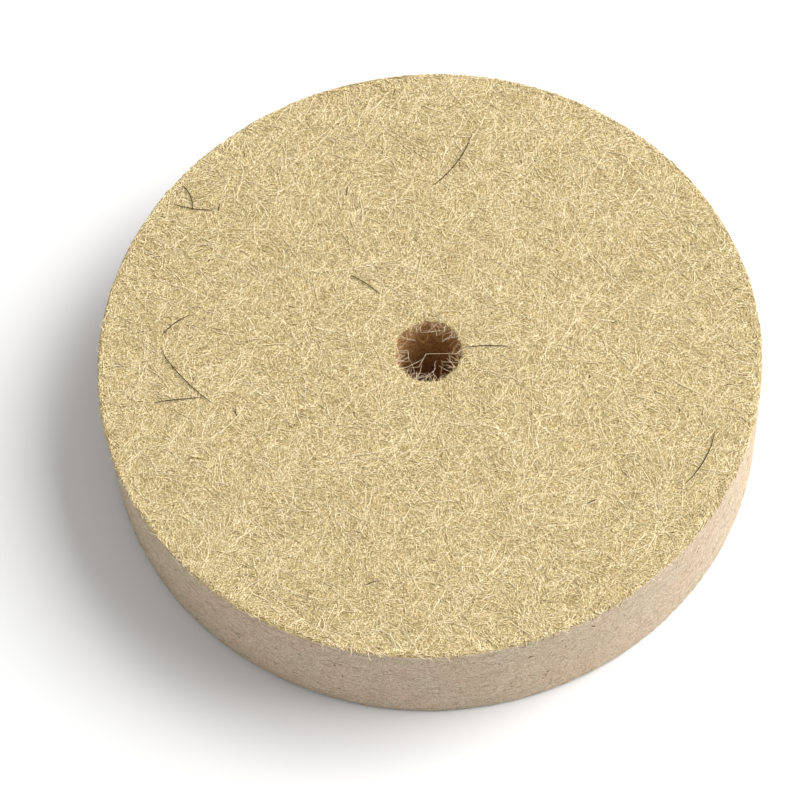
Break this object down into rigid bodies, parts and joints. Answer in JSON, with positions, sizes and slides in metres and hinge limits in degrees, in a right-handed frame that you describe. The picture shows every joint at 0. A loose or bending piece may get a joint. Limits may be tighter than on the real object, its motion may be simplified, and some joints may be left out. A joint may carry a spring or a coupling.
{
  "type": "felt polishing wheel",
  "caption": "Flat round polishing wheel of hard pressed wool felt, with coarse fibrous faces, a finely ground rim and a plain through hole for a spindle.",
  "frame": {"origin": "centre of the spindle hole at the back face, which the wheel lies on", "axes": "+Z along the spindle hole towards the front face; X and Y in the plane of the faces"},
  "size_m": [0.125, 0.125, 0.025],
  "materials": {
    "skin_felt": "coarse matted wool, long cream and gold fibres",
    "ground_felt": "dense wool felt, ground smooth with a short nap"
  },
  "bodies": {
    "root": {"front_skin": "skin_felt", "felt_core": "ground_felt", "back_skin": "skin_felt"}
  },
  "joints": []
}
